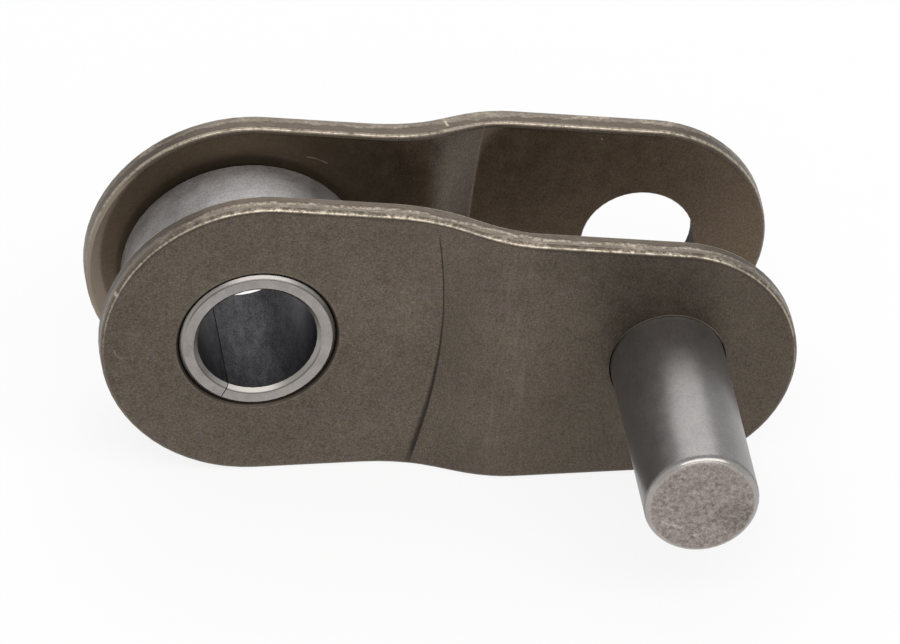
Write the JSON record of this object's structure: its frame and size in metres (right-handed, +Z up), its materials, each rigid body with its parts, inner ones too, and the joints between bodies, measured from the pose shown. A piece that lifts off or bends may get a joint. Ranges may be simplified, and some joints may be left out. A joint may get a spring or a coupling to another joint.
{
  "type": "offset chain link",
  "caption": "Cranked-plate half link for a roller chain: rolled bush with a free roller at the narrow end, and a long connecting pin standing out of the front plate at the wide end.",
  "frame": {"origin": "centre of the bush's bore, midway between the plates", "axes": "+X along the pitch line to the pin hole, +Y from the front plate to the rear plate, +Z up"},
  "size_m": [0.0217, 0.0148, 0.0098],
  "materials": {
    "plate": "dark heat-treated steel, tumbled, with bright worn rims",
    "bush": "satin light grey steel rolled from strip",
    "roller": "satin light grey steel",
    "pin": "dark ground steel with a matte end face"
  },
  "bodies": {
    "link": {"front_plate": "plate", "rear_plate": "plate", "bush": "bush", "connecting_pin": "pin"},
    "roller": {"roller": "roller"}
  },
  "joints": [
    {"name": "roller_spin", "type": "hinge", "parent": "link", "child": "roller", "pos_m": [0, 0, 0], "axis": [0, 1, 0], "continuous": true}
  ]
}
